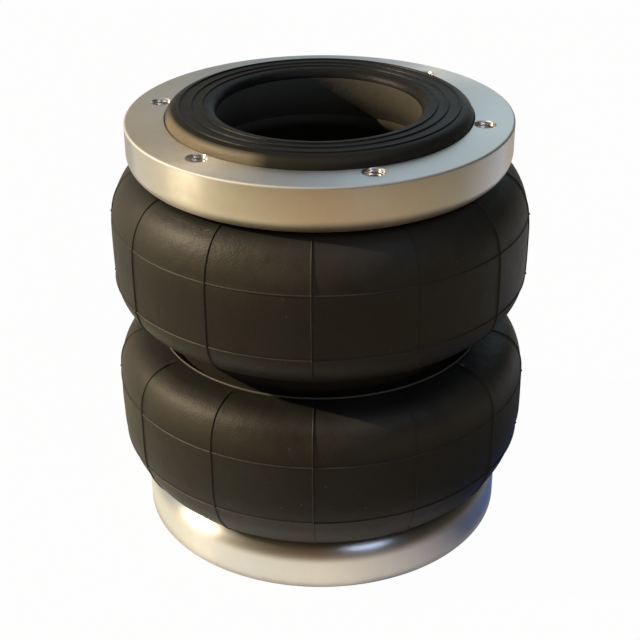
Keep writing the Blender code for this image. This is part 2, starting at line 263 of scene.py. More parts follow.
def bolt_places():
    """The middles of the holes on the bolt circle."""
    around = [math.radians(BOLT_PHASE + 360 / BOLT_COUNT * bolt) for bolt in range(BOLT_COUNT)]
    return [(BOLT_CIRCLE_RADIUS * math.cos(a), BOLT_CIRCLE_RADIUS * math.sin(a)) for a in around]


def bolt_hole_cutter(end):
    """The drilled and countersunk holes of one ring, as one cutter."""
    mesh = bmesh.new()
    steps = [
        (-CUT_OVERSHOOT, HOLE_CHAMFER + CUT_OVERSHOOT),
        (HOLE_CHAMFER - THREAD_MAJOR, THREAD_MAJOR),
        (HOLE_DEPTH, THREAD_MAJOR),
    ]
    tip_depth = HOLE_DEPTH + THREAD_MAJOR * math.tan(math.radians(DRILL_POINT_SLOPE))
    sides = 32
    for x, y in bolt_places():
        loops = []
        for depth, radius in steps:
            height = flip(depth, end) * MM
            circle = arc((x, y), radius, 0, 360, sides)[:-1]
            loops.append([mesh.verts.new((px * MM, py * MM, height)) for px, py in circle])
        tip = mesh.verts.new((x * MM, y * MM, flip(tip_depth, end) * MM))
        mesh.faces.new(loops[0])
        for i in range(sides):
            j = (i + 1) % sides
            for upper, under in zip(loops, loops[1:]):
                mesh.faces.new((upper[i], upper[j], under[j], under[i]))
            mesh.faces.new((loops[-1][i], loops[-1][j], tip))
    return finish_mesh(end + "_hole_cutter", mesh, aluminium)


def apply_cut(target, cutter):
    """Cuts the cutter out of the target for good, and removes it."""
    cut = target.modifiers.new("holes", "BOOLEAN")
    cut.operation = "DIFFERENCE"
    cut.object = cutter
    evaluated = target.evaluated_get(bpy.context.evaluated_depsgraph_get())
    data = bpy.data.meshes.new_from_object(evaluated)
    target.modifiers.clear()
    target.data = data
    bpy.data.objects.remove(cutter, do_unlink=True)


def tapped_threads(end):
    """The cut threads that line the holes: a V groove that winds down each hole."""
    mesh = bmesh.new()
    sides = 28
    rows_per_turn = 4
    for x, y in bolt_places():
        loops = []
        for row in range(THREAD_TURNS * rows_per_turn + 1):
            depth = HOLE_CHAMFER - THREAD_MAJOR + row * THREAD_PITCH / rows_per_turn
            height = flip(depth, end) * MM
            loop = []
            for side in range(sides):
                turn = (row / rows_per_turn + side / sides) % 1.0
                crest = abs(2 * turn - 1)
                radius = THREAD_MAJOR - THREAD_CLEARANCE - (THREAD_MAJOR - THREAD_MINOR) * crest * (row > 0)
                angle = 2 * math.pi * side / sides
                point = ((x + radius * math.cos(angle)) * MM, (y + radius * math.sin(angle)) * MM, height)
                loop.append(mesh.verts.new(point))
            loops.append(loop)
        for this, following in zip(loops, loops[1:]):
            for i in range(sides):
                j = (i + 1) % sides
                mesh.faces.new((this[i], this[j], following[j], following[i]))
    threads = finish_mesh(end + "_ring_threads", mesh, aluminium, sharp_angle=80)
    threads.data.flip_normals()
    return threads


def on_rim(radius, depth):
    """Whether a spot lies on a ring's broken outer edge."""
    return radius > RING_RADIUS - RING_RIM_RADIUS and depth < RING_RIM_RADIUS


aluminium = turned_aluminium()
broken_edge = deburred_edge()
for end in ENDS:
    ring = turned(end + "_ring_turned", place(ring_outline(), end), even_columns(RING_COLUMNS), aluminium)
    apply_cut(ring, bolt_hole_cutter(end))
    finish_faces(ring, end, broken_edge, on_rim)
    ring.data.set_sharp_from_angle(angle=math.radians(SHARP_ANGLE))
    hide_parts(end + "_flange_ring")
    threads = tapped_threads(end)
    for piece in (ring, threads):
        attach(piece, end + "_ring")

# Bead wires and fillers. Each end of the bellows is anchored by a hoop of bronze-plated steel wire
# with a wedge of hard rubber beside it. The beads are moulded over both, so neither is seen.

WIRE_PITCH = 0.0009

# A wave texture of scale 1 has this wavelength.
WAVE_LENGTH = 0.314


def bronzed_wire():
    """Bronze-plated spring wire wound in strands, so that it shows fine ridges along the hoop."""
    made, tree, shader = new_material("bronzed_bead_wire")
    here = add_node(tree, "ShaderNodeTexCoord").outputs["Object"]
    strands = add_node(
        tree, "ShaderNodeTexWave", {"bands_direction": "Z"},
        {"Scale": WAVE_LENGTH / WIRE_PITCH, "Distortion": 0.3}, {"Vector": here},
    )
    bump = add_node(
        tree, "ShaderNodeBump", None,
        {"Strength": 0.8, "Distance": 0.0003}, {"Height": strands.outputs["Fac"]},
    )
    tree.links.new(bump.outputs["Normal"], shader.inputs["Normal"])
    shader.inputs["Base Color"].default_value = linear("#b98a4e")
    shader.inputs["Metallic"].default_value = 1.0
    shader.inputs["Roughness"].default_value = 0.35
    return made


def hard_rubber():
    """Hard filler rubber, which only meets other rubber: matt, with a grain drawn at 0.7 mm."""
    made, tree, shader = new_material("hard_filler_rubber")
    here = add_node(tree, "ShaderNodeTexCoord").outputs["Object"]
    grain = add_node(tree, "ShaderNodeTexNoise", None, {"Scale": 1500.0, "Detail": 3.0}, {"Vector": here})
    bump = add_node(
        tree, "ShaderNodeBump", None,
        {"Strength": 0.3, "Distance": 0.0001}, {"Height": grain.outputs["Fac"]},
    )
    tree.links.new(bump.outputs["Normal"], shader.inputs["Normal"])
    shader.inputs["Base Color"].default_value = linear("#2c2a27")
    shader.inputs["Roughness"].default_value = 0.7
    return made


def refinish(node, finish):
    """Gives a CAD node that stays in place its better material."""
    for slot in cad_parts[node].material_slots:
        slot.material = finish


wire = bronzed_wire()
filler_rubber = hard_rubber()
for end in ENDS:
    refinish(end + "_bead_core", wire)
    refinish(end + "_bead_filler", filler_rubber)

# Bead seals. The rubber is moulded round each bead wire into a fat rim with three fine sealing ribs
# on its face, which the end plate squeezes, and a rounded mouth for the air.

BEAD_RISE = {"lower": 0.0, "upper": 5.0}
BEAD_RADIUS = 60.0
BEAD_EDGE_RADIUS = 4.6
BEAD_CAP_DEPTH = 9.0
BEAD_SIDE_DEPTH = 7.0
SEAL_FACE_DEPTH = 0.5
SEAL_RIBS = (54.7, 49.9, 45.7)
SEAL_RIB_HALF_WIDTH = 0.55
MOUTH_RADIUS = 40.0
MOUTH_EDGE_RADIUS = 4.0
CORE_CENTRE = (53.4, 8.2)
HOOK_OUTSIDE = 4.9
LINER_EDGE_DEPTH = 12.0
TOE = [
    (40.0, 6.5), (40.4, 9.5), (41.2, 12.5), (42.6, 15.6), (44.4, 18.4), (46.2, 20.8), (46.75, 21.6),
    (46.8, 21.3), (46.8, LINER_EDGE_DEPTH), (48.5, LINER_EDGE_DEPTH),
]
LINED_RADIUS = 47.2
LINED_START = 4.0
SEAL_COLUMNS = 208
RIB_PHASE = -92.27
# The rim's band, and the arc round it where its paler brown is scuffing and also a painted highlight.
SCUFF_AND_HIGHLIGHT_RADII = (57.2, 58.7)
SCUFF_AND_HIGHLIGHT_ARC = [(0.0, 0.1), (0.04, 1.0), (0.18, 1.0), (0.2, 0.1)]

# Wax blooms in patches of about 35 mm.
BLOOM = {"Scale": 28.0, "Detail": 5.0, "Roughness": 0.65}


def fill_ramp(ramp, stops):
    """Gives a colour ramp its stops, each a position and a colour, from low to high."""
    while len(ramp.elements) < len(stops):
        ramp.elements.new(0.5)
    for element, (position, colour) in zip(ramp.elements, stops):
        element.position = position
        element.color = colour


def scuffed_and_highlit_rim(tree, here):
    """Where the bead's rim is scuffed brown, lightly all round and fully over the left-front arc that
    faces the low sun, where the paler brown also paints the sun's highlight.
    """
    around = add_node(tree, "ShaderNodeTexGradient", {"gradient_type": "RADIAL"}, links={"Vector": here})
    worn_and_lit_arc = add_node(tree, "ShaderNodeValToRGB", links={"Fac": around.outputs["Fac"]})
    fill_ramp(worn_and_lit_arc.color_ramp, [(position, (wear_and_sheen, wear_and_sheen, wear_and_sheen, 1.0)) for position, wear_and_sheen in SCUFF_AND_HIGHLIGHT_ARC])
    rim = add_node(
        tree, "ShaderNodeMapRange", None,
        {"From Min": SCUFF_AND_HIGHLIGHT_RADII[0] * MM, "From Max": SCUFF_AND_HIGHLIGHT_RADII[1] * MM},
        {"Value": distance_from_axis(tree, here)},
    )
    share = add_node(
        tree, "ShaderNodeMath", {"operation": "MULTIPLY"},
        links={0: rim.outputs["Result"], 1: worn_and_lit_arc.outputs["Color"]},
    )
    return share.outputs["Value"]


def moulded_rubber(name, shade, worn, roughness, shine, wear_and_sheen=None):
    """Black rubber from a steel mould: satin, with the mould's fine grain, a few pinholes and specks,
    and a thin grey-brown bloom where wax has come to the surface. The last argument is a function
    that says where the rubber is worn or dusty, with the colour that it has there; that lighter
    colour also paints the low sun's highlight and sheen."""
    made, tree, shader = new_material(name)
    here = add_node(tree, "ShaderNodeTexCoord").outputs["Object"]
    bloom = add_node(tree, "ShaderNodeTexNoise", None, BLOOM, {"Vector": here})
    specks = add_node(tree, "ShaderNodeTexVoronoi", None, {"Scale": 130.0}, {"Vector": here})
    speck = add_node(
        tree, "ShaderNodeMapRange", None,
        {"From Min": 0.035, "From Max": 0.06, "To Min": 1.0, "To Max": 0.0},
        {"Value": specks.outputs["Distance"]},
    )
    # The mould's grain is about 0.1 mm and is drawn at 0.6 mm, on waves 8 mm long.
    grain = add_node(
        tree, "ShaderNodeTexNoise", None,
        {"Scale": 1600.0, "Detail": 3.0, "Roughness": 0.6}, {"Vector": here},
    )
    waves = add_node(tree, "ShaderNodeTexNoise", None, {"Scale": 120.0, "Detail": 2.0}, {"Vector": here})
    tone = add_node(
        tree, "ShaderNodeMix", {"data_type": "RGBA"},
        {MIX_ONE: linear(shade), MIX_OTHER: linear(worn)}, {MIX_SHARE: bloom.outputs["Fac"]},
    )
    finished = add_node(
        tree, "ShaderNodeMix", {"data_type": "RGBA"}, {MIX_OTHER: linear("#4a463e")},
        {MIX_SHARE: speck.outputs["Result"], MIX_ONE: tone.outputs[MIXED]},
    )
    # Worn or dusty rubber in a lighter colour, which also paints the sun's highlight and sheen where it
    # falls.
    if wear_and_sheen:
        where, wear_and_sheen_colour = wear_and_sheen
        finished = add_node(
            tree, "ShaderNodeMix", {"data_type": "RGBA"}, {MIX_OTHER: linear(wear_and_sheen_colour)},
            {MIX_SHARE: where(tree, here), MIX_ONE: finished.outputs[MIXED]},
        )
    tree.links.new(finished.outputs[MIXED], shader.inputs["Base Color"])
    satin = add_node(
        tree, "ShaderNodeMapRange", None,
        {"From Min": 0.3, "From Max": 0.7, "To Min": roughness - 0.05, "To Max": roughness + 0.08},
        {"Value": bloom.outputs["Fac"]},
    )
    tree.links.new(satin.outputs["Result"], shader.inputs["Roughness"])
    height = add_node(
        tree, "ShaderNodeMath", {"operation": "MULTIPLY_ADD"}, {1: 2.5},
        {0: waves.outputs["Fac"], 2: grain.outputs["Fac"]},
    )
    bump = add_node(
        tree, "ShaderNodeBump", None,
        {"Strength": 0.8, "Distance": 0.00015}, {"Height": height.outputs["Value"]},
    )
    tree.links.new(bump.outputs["Normal"], shader.inputs["Normal"])
    shader.inputs["Specular IOR Level"].default_value = shine
    return made


def ridge(middle, height, half_width, foot):
    """Points across a small rounded ridge on a flat face, from its outer foot to its inner one."""
    shape = [(1.0, 0.0), (0.5, 0.85), (0.0, 1.0), (-0.5, 0.85), (-1.0, 0.0)]
    return [(middle + across * half_width, foot - up * height) for across, up in shape]


def seal_outline(end):
    """The bead from its heel over the sealing face, round the mouth and back under its toe."""
    edge = (BEAD_RADIUS - BEAD_EDGE_RADIUS, BEAD_EDGE_RADIUS + SEAL_FACE_DEPTH)
    mouth = (MOUTH_RADIUS + MOUTH_EDGE_RADIUS, MOUTH_EDGE_RADIUS + SEAL_FACE_DEPTH)
    points = [(BEAD_RADIUS, BEAD_CAP_DEPTH), (BEAD_RADIUS, BEAD_SIDE_DEPTH)]
    points += arc(edge, BEAD_EDGE_RADIUS, 0, -84, 12)
    for middle in SEAL_RIBS:
        points += ridge(middle, SEAL_FACE_DEPTH, SEAL_RIB_HALF_WIDTH, SEAL_FACE_DEPTH)
    points += arc(mouth, MOUTH_EDGE_RADIUS, -96, -180, 10)
    points += TOE
    points += arc(CORE_CENTRE, HOOK_OUTSIDE, 180, 360, 16)
    points.append((CORE_CENTRE[0] + HOOK_OUTSIDE, BEAD_CAP_DEPTH))
    return [(radius, depth - BEAD_RISE[end]) for radius, depth in points]


# The liner is greyer than the rest, so that the mouth has a dull pale sheen.
liner_rubber = moulded_rubber("calendered_liner_rubber", "#4a4942", "#5e5b53", roughness=0.5, shine=0.25)
# The bead is the blackest and smoothest rubber, rubbed brown along its rim; its paler left-front arc is a
# painted highlight.
seal_rubber = moulded_rubber(
    "moulded_seal_rubber", "#181918", "#232320", roughness=0.38, shine=0.12, wear_and_sheen=(scuffed_and_highlit_rim, "#7f7662")
)
for end in ENDS:
    columns = even_columns(SEAL_COLUMNS, RIB_PHASE)
    seal = turned(end + "_bead_moulded", place(seal_outline(end), end), columns, seal_rubber)
    # The liner is turned up over the toe and lines the mouth.
    start = LINED_START - BEAD_RISE[end]
    finish_faces(seal, end, liner_rubber, lambda radius, depth: radius < LINED_RADIUS and depth > start)
    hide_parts(end + "_bead_seal")
    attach(seal, end + "_bead")

# Cord plies. Two crossed layers of rubber-coated cord carry the pressure. They run from the waist
# through each lobe, in through the ring's throat, and are wrapped once round the bead wire.

PLY_WALL = 0.6
PLIES_HALF = 0.75
PLY_SIDES = {"crossed_ply": PLIES_HALF, "cord_ply": PLY_WALL - PLIES_HALF}
HOOK_TAILS = {"crossed_ply": 1.4, "cord_ply": 0.4}
HOOK_MIDDLE = 3.85
WALL_COLUMNS = 104
THROAT_BEND = (56.9, 15.5)
THROAT_BEND_RADIUS = 7.35
WAIST_PLY_RADIUS = 53.25
SHOULDERS = {
    "upper": [
        (65.0, 22.85), (70.0, 23.1), (73.8, 25.0), (76.8, 29.0), (79.3, 34.0), (80.8, 38.8), (81.2, 44.0),
    ],
    "lower": [
        (62.0, 22.85), (68.0, 23.4), (72.4, 25.6), (76.0, 29.6), (79.2, 34.6), (80.9, 39.2), (81.2, 44.0),
    ],
}
CROWN = [
    (81.2, 52.0), (81.2, 59.0), (80.7, 63.8), (79.0, 68.8), (76.0, 72.8), (71.8, 75.8), (66.8, 77.25),
    (61.5, 77.3),
]
WAIST_BEND = [(57.6, 78.1), (54.6, 80.6), (WAIST_PLY_RADIUS, 83.6), (WAIST_PLY_RADIUS, 86.35)]


def smooth_path(points, samples=4):
    """A smooth path through points, with the same number of samples on each stretch."""
    path = []
    for i in range(len(points) - 1):
        before, here = points[max(i - 1, 0)], points[i]
        there, after = points[i + 1], points[min(i + 2, len(points) - 1)]
        for step in range(samples):
            t = step / samples
            sample = []
            for a, b, c, d in zip(before, here, there, after):
                square, cube = 2 * a - 5 * b + 4 * c - d, 3 * b - a - 3 * c + d
                sample.append(0.5 * (2 * b + (c - a) * t + square * t * t + cube * t ** 3))
            path.append(tuple(sample))
    return path + [points[-1]]


def beside(path, distance):
    """The path moved sideways by distance, to the right of its run."""
    moved = []
    for i, (radius, depth) in enumerate(path):
        back, ahead = path[max(i - 1, 0)], path[min(i + 1, len(path) - 1)]
        run = (ahead[0] - back[0], ahead[1] - back[1])
        length = math.hypot(*run)
        moved.append((radius + run[1] / length * distance, depth - run[0] / length * distance))
    return moved


def wall_line(end):
    """The middle of the two cord plies from the bead wire's side to the waist."""
    neck = [(THROAT_BEND[0] - THROAT_BEND_RADIUS, CORE_CENTRE[1] - BEAD_RISE[end])]
    bend = arc(THROAT_BEND, THROAT_BEND_RADIUS, 180, 90, 8)
    free = smooth_path([bend[-1]] + SHOULDERS[end] + CROWN + WAIST_BEND)
    return neck + bend[:-1] + free


def ply_outline(end, ply):
    """One ply's section: down both its sides and round the hook, where the outer ply lies inside."""
    core = (CORE_CENTRE[0], CORE_CENTRE[1] - BEAD_RISE[end])
    tail = core[1] + HOOK_TAILS[ply]
    outer = PLY_SIDES[ply]
    inner = outer - PLY_WALL
    near, far = HOOK_MIDDLE - outer, HOOK_MIDDLE - inner
    wall = wall_line(end)
    hook_in = [(core[0] + near, tail)] + arc(core, near, 360, 180, 16)[:-1]
    hook_out = arc(core, far, 180, 360, 16)[1:] + [(core[0] + far, tail)]
    return hook_in + beside(wall, outer) + beside(wall, inner)[::-1] + hook_out


def rubbered_cord(name, lay_angle):
    """Calendered cord fabric: parallel cords that show through a thin rubber coat. The two plies'
    cords lie at opposite angles to the bellows' axis."""
    made, tree, shader = new_material(name)
    place_on = add_node(tree, "ShaderNodeTexCoord")
    turned_on = add_node(
        tree, "ShaderNodeMapping", None,
        {"Rotation": (0.0, 0.0, math.radians(lay_angle))}, {"Vector": place_on.outputs["Object"]},
    )
    # The cords lie 1.2 mm apart.
    cords = add_node(
        tree, "ShaderNodeTexWave", {"bands_direction": "DIAGONAL"},
        {"Scale": 260.0, "Distortion": 0.2}, {"Vector": turned_on.outputs["Vector"]},
    )
    tone = add_node(
        tree, "ShaderNodeMix", {"data_type": "RGBA"},
        {MIX_ONE: linear("#3a3226"), MIX_OTHER: linear("#7d6a4b")}, {MIX_SHARE: cords.outputs["Fac"]},
    )
    tree.links.new(tone.outputs[MIXED], shader.inputs["Base Color"])
    bump = add_node(
        tree, "ShaderNodeBump", None,
        {"Strength": 0.6, "Distance": 0.0002}, {"Height": cords.outputs["Fac"]},
    )
    tree.links.new(bump.outputs["Normal"], shader.inputs["Normal"])
    shader.inputs["Roughness"].default_value = 0.8
    return made


def fold_with_lobe(piece, end):
    """Bakes a lobe's layer's placement into its mesh, the same at both ends."""
    if end == "lower":
        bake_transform(piece)
    else:
        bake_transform(piece)


cords = {"crossed_ply": rubbered_cord("crossed_cord", 45), "cord_ply": rubbered_cord("plain_cord", -45)}
for end in ENDS:
    for ply, cord in cords.items():
        outline = place(ply_outline(end, ply), end)
        wrapped = turned(f"{end}_{ply}_wrapped", outline, even_columns(WALL_COLUMNS, RIB_PHASE), cord)
        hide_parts(f"{end}_{ply}")
        fold_with_lobe(wrapped, end)

# Inner liners. A thin sheet of air-tight rubber lines the bellows from the toe of each bead to the
# waist. It shows through the mouth as a smooth dark throat.

LINER_WALL = 1.4
BOND = 0.3


def liner_outline(end):
    """The liner's section, which follows the plies' wall on its inner side."""
    wall = wall_line(end)
    wall[0] = (wall[0][0], LINER_EDGE_DEPTH + BOND - BEAD_RISE[end])
    near = PLIES_HALF + BOND
    return beside(wall, -near) + beside(wall, -near - LINER_WALL)[::-1]


for end in ENDS:
    columns = even_columns(WALL_COLUMNS, RIB_PHASE)
    liner = turned(end + "_liner_sheet", place(liner_outline(end), end), columns, liner_rubber)
    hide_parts(end + "_inner_liner")
    fold_with_lobe(liner, end)

# Outer covers. Weather-proof rubber moulded over the plies. The split mould leaves thirteen fine
# raised ribs down each lobe and two lines round it, where its plates met and vented. The lower
# cover ends at the waist in a thin standing lip, whose edge is paler grey as a painted highlight.

MOULD_RIBS = 13
RIB_HEIGHT = 0.45
RIB_HALF_WIDTH = 0.42
RIB_PROFILE = [(-1.0, 0.0), (-0.55, 0.75), (-0.2, 1.0), (0.2, 1.0), (0.55, 0.75), (1.0, 0.0)]
RIB_FADE_IN = 3
RIB_FADE_OUT = 5
COLUMNS_BETWEEN_RIBS = 12
CROWN_RADIUS = 84.0
LINE_HEIGHT = 0.38
LINE_HALF_WIDTH = 0.32
LINE_PROFILE = [(-1.0, 0.0), (-0.5, 0.8), (0.0, 1.0), (0.5, 0.8), (1.0, 0.0)]
LINE_DEPTHS = (37.8, 63.8)
LINE_MIN_RADIUS = 80.0
HEEL_BAND_END = 10.5
HEEL_STEP = 0.5
EDGE_WRAP = {"upper": 86, "lower": 72}
LAP_RADIUS = 59.3
LAP_START = 70.0
LAP_MARGIN = 1.0
WAIST_RADIUS = 62.7
WAIST_EDGE = 80.3
FREE_SURFACE = {
    "upper": [
        (69.6, 19.9), (72.0, 20.4), (74.3, 21.5), (76.5, 23.1), (78.4, 25.1), (80.0, 27.5), (81.4, 30.4),
        (82.5, 33.8), (83.2, 37.8), (83.6, 42.5), (83.7, 48.0), (83.7, 54.0), (83.65, 59.5),
        (83.5, 63.8), (82.8, 67.2), (81.5, 70.4), (79.5, 73.4), (77.0, 76.0), (73.8, 78.2), (70.2, 79.6),
        (66.4, 80.4), (WAIST_RADIUS, WAIST_EDGE),
    ],
    "lower": [
        (71.3, 19.35), (73.6, 20.6), (76.0, 22.7), (78.3, 25.3), (80.2, 28.3), (82.0, 31.9), (83.1, 35.0),
        (83.9, 37.8), (84.6, 42.5), (84.8, 48.0), (84.8, 54.0), (84.75, 59.5), (84.7, 63.8), (84.5, 67.5),
        (83.9, 70.8), (82.7, 74.2), (80.8, 77.3), (78.2, 79.6), (75.0, 81.1), (71.6, 82.0), (68.0, 82.6),
    ],
}
WAIST_LIP = {
    "upper": [],
    "lower": [
        (66.55, 82.8), (66.5, 83.2), (66.3, 83.4), (66.1, 83.2), (66.0, 82.7), (64.4, 81.6),
        (WAIST_RADIUS, WAIST_EDGE),
    ],
}
LIP_MIDDLE = 66.3
LIP_HALF_WIDTH = 0.5
LIP_FOOT = 82.9
# The dust lies between these radii; this lighter band is also a painted sheen, and the waist inside it is
# left darker as painted shade.
DUST_AND_SHEEN_RADII = (73.0, 80.5)


def dust_and_sheen_shoulder(tree, here):
    """Where fine dust clings: on the upward round shoulder of each lobe, where wax has bloomed. The lighter
    shoulder is also a painted sheen, and its absence near the waist a painted shade.
    """
    facing = add_node(tree, "ShaderNodeNewGeometry")
    slope = add_node(tree, "ShaderNodeSeparateXYZ", links={"Vector": facing.outputs["Normal"]})
    patches = add_node(tree, "ShaderNodeTexNoise", None, BLOOM, {"Vector": here})
    limits = [
        (distance_from_axis(tree, here), DUST_AND_SHEEN_RADII[0] * MM, DUST_AND_SHEEN_RADII[1] * MM),
        (slope.outputs["Z"], 0.0, 0.35),
        (patches.outputs["Fac"], 0.15, 0.62),
    ]
    outer, upward, patchy = [
        add_node(tree, "ShaderNodeMapRange", None, {"From Min": low, "From Max": high}, {"Value": value})
        for value, low, high in limits
    ]
    settled_and_lit = add_node(
        tree, "ShaderNodeMath", {"operation": "MULTIPLY"},
        links={0: outer.outputs["Result"], 1: upward.outputs["Result"]},
    )
    share = add_node(
        tree, "ShaderNodeMath", {"operation": "MULTIPLY"},
        links={0: settled_and_lit.outputs["Value"], 1: patchy.outputs["Result"]},
    )
    return share.outputs["Value"]


def rib_columns():
    """Column angles with their share of a rib's height: dense across each rib, even between."""
    pitch = 360 / MOULD_RIBS
    foot = math.degrees(RIB_HALF_WIDTH / CROWN_RADIUS)
    gap = pitch - 2 * foot
    columns = []
    for rib in range(MOULD_RIBS):
        crest = RIB_PHASE + rib * pitch
        columns += [(math.radians(crest + share * foot), up) for share, up in RIB_PROFILE]
        for i in range(1, COLUMNS_BETWEEN_RIBS):
            columns.append((math.radians(crest + foot + gap * i / COLUMNS_BETWEEN_RIBS), 0.0))
    return columns


def cover_surface(end):
    """The free outer surface with extra points across the two mould lines, and how far a rib lifts it."""
    path = smooth_path(FREE_SURFACE[end])
    outside = [point for point in path if point[0] >= LINE_MIN_RADIUS]
    lines = [min(outside, key=lambda point: abs(point[1] - depth)) for depth in LINE_DEPTHS]
    surface = []
    for i, (radius, depth) in enumerate(path):
        fade = min(1.0, i / RIB_FADE_IN, (len(path) - 1 - i) / RIB_FADE_OUT)
        if (radius, depth) not in lines:
            surface.append((radius, depth, fade))
            continue
        for across, up in LINE_PROFILE:
            surface.append((radius + up * LINE_HEIGHT, depth + across * LINE_HALF_WIDTH, fade))
    return surface + [(radius, depth, 0.0) for radius, depth in WAIST_LIP[end]]


def outer_cover(end):
    """One lobe's cover, from its heel in the ring round the lobe to its lap at the waist."""
    rise = BEAD_RISE[end]
    heel = [
        (BEAD_RADIUS, BEAD_CAP_DEPTH + BOND - rise),
        (BEAD_RADIUS, HEEL_BAND_END - rise),
        (THROAT_RADIUS - BOND, HEEL_BAND_END + SEAT_HEIGHT - rise),
    ]
    under_ring = arc(THROAT_EDGE_CENTRE, THROAT_EDGE_RADIUS + BOND, 180, 90, 8)
    around_edge = arc(RING_EDGE_CENTRE, RING_EDGE_RADIUS + BOND, 90, EDGE_WRAP[end], 8)
    surface = cover_surface(end)
    wall = beside(wall_line(end), PLIES_HALF + BOND)[1:]
    inside = [point for point in wall if point[1] < LAP_START or point[0] > LAP_RADIUS + LAP_MARGIN]
    lap = [(LAP_RADIUS, WAIST_EDGE), (LAP_RADIUS, inside[-1][1])]
    pocket = [
        (THROAT_BEND[0] - THROAT_BEND_RADIUS + PLIES_HALF + BOND, HEEL_BAND_END + SEAT_HEIGHT + BOND - rise),
        (CORE_CENTRE[0] + HOOK_OUTSIDE, HEEL_BAND_END - HEEL_STEP - rise),
        (CORE_CENTRE[0] + HOOK_OUTSIDE, BEAD_CAP_DEPTH + BOND - rise),
    ]
    free = [(radius, depth) for radius, depth, _ in surface]
    covered = heel + under_ring + around_edge
    plain = covered + free + lap + inside[::-1] + pocket
    columns = rib_columns()
    run = [(0.0, 0.0)] * len(plain)
    for i, (_, _, fade) in enumerate(surface):
        back, ahead = free[max(i - 1, 0)], free[min(i + 1, len(free) - 1)]
        length = math.hypot(ahead[0] - back[0], ahead[1] - back[1])
        lift = RIB_HEIGHT * fade
        outward = ((ahead[1] - back[1]) / length * lift, -(ahead[0] - back[0]) / length * lift)
        run[len(covered) + i] = outward

    def lifted(number, column):
        """A point of the section at one column, raised where a rib runs."""
        up = columns[column][1]
        radius, depth = plain[number]
        return radius + run[number][0] * up, flip(depth + run[number][1] * up, end)

    angles = [angle for angle, _ in columns]
    return turned(end + "_cover_moulded", plain, angles, cover_rubber, lifted, sharp_angle=40)


def on_lip(radius, depth):
    """Whether a spot lies on the lower cover's standing lip."""
    return abs(radius - LIP_MIDDLE) < LIP_HALF_WIDTH and depth > LIP_FOOT


# The lip's edge is paler grey rubber, a painted highlight that draws a thin pale line across the dark waist.
lip_highlight_rubber = moulded_rubber("lip_highlight_rubber", "#56544a", "#6a675c", roughness=0.5, shine=0.25)
# The lobes are satin black, with dust on their upward shoulders. The lighter shoulders are also a
# painted sheen, and the darker waist without it a painted shade.
cover_rubber = moulded_rubber(
    "moulded_cover_rubber", "#161613", "#2b2a24", roughness=0.47, shine=0.3, wear_and_sheen=(dust_and_sheen_shoulder, "#3d392f")
)
for end in ENDS:
    cover = outer_cover(end)
    if WAIST_LIP[end]:
        finish_faces(cover, end, lip_highlight_rubber, on_lip)
    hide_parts(end + "_outer_cover")
    fold_with_lobe(cover, end)

# Girdle. A steel hoop holds the waist in when the lobes are under pressure. A moulded rubber band
# covers it and shows as a smooth hollow between the lobes.

HOOP_RADIUS = 3.0
HOOP_CENTRE_RADIUS = 57.6
BAND_DISH = 0.8
BAND_LIP = 1.0


def plain_steel():
    """Plain drawn steel wire, bright under the rubber, with drawing lines along it."""
    made, tree, shader = new_material("drawn_steel_wire")
    here = add_node(tree, "ShaderNodeTexCoord").outputs["Object"]
    lines = add_node(tree, "ShaderNodeTexNoise", None, {"Scale": 400.0, "Detail": 2.0}, {"Vector": here})
    bump = add_node(
        tree, "ShaderNodeBump", None,
        {"Strength": 0.2, "Distance": 0.0001}, {"Height": lines.outputs["Fac"]},
    )
    tree.links.new(bump.outputs["Normal"], shader.inputs["Normal"])
    shader.inputs["Base Color"].default_value = linear("#b4b2ae")
    shader.inputs["Metallic"].default_value = 1.0
    shader.inputs["Roughness"].default_value = 0.3
    return made


def band_outline():
    """The band's section: dished outside, with a round pocket for the hoop inside."""
    middle = RING_SPAN / 2
    low, high = WAIST_EDGE + BOND, RING_SPAN - WAIST_EDGE - BOND
    pocket = HOOP_RADIUS + BOND
    inner = HOOP_CENTRE_RADIUS - HOOP_RADIUS
    steps = 12
    dish = []
    for i in range(steps + 1):
        t = i / steps
        dish.append((WAIST_RADIUS - BAND_DISH * math.sin(math.pi * t), low + (high - low) * t))
    above = [
        (HOOP_CENTRE_RADIUS + BAND_LIP, high), (inner, middle + pocket + BOND), (inner, middle + pocket),
    ]
    channel = arc((HOOP_CENTRE_RADIUS, middle), pocket, 90, -90, 16)
    below = [
        (inner, middle - pocket), (inner, middle - pocket - BOND), (HOOP_CENTRE_RADIUS + BAND_LIP, low),
    ]
    return dish + above + channel + below


refinish("girdle_hoop", plain_steel())
# The band lies too deep to be touched, so that its rubber is plain and even.
unworn_rubber = moulded_rubber("unworn_waist_rubber", "#21201d", "#2e2c27", roughness=0.5, shine=0.15)
band = turned("waist_band_moulded", band_outline(), even_columns(SEAL_COLUMNS, RIB_PHASE), unworn_rubber)
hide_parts("girdle_band")
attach(band, "girdle")

# Studio. A white floor that runs out of the picture, a low warm sun from the left, soft cool sky
# light from the right and above, glowing cards that paint reflections which only gloss sees, and the
# photograph's camera.

CAMERA_PLACE = (0.0, -0.49703, 0.34814)
CAMERA_TARGET = (0.0, 0.0, 0.08172)
CAMERA_LENS = 75.07
CAMERA_ROLL = -0.42
CAMERA_SHIFT = (-0.0013, -0.0018)
FLOOR_HALF = 6.0
FLOOR_DROP = 0.0002
SUN_DIRECTION = (0.9, 0.03, -0.54)
SUN_POWER = 3.8
SUN_WIDTH = 1.2
WINDOW_PLACE = (0.5, -0.78, 1.1)
WINDOW_TARGET = (0.0, 0.0, 0.08)
WINDOW_POWER = 2.0
WINDOW_SIZE = 0.5

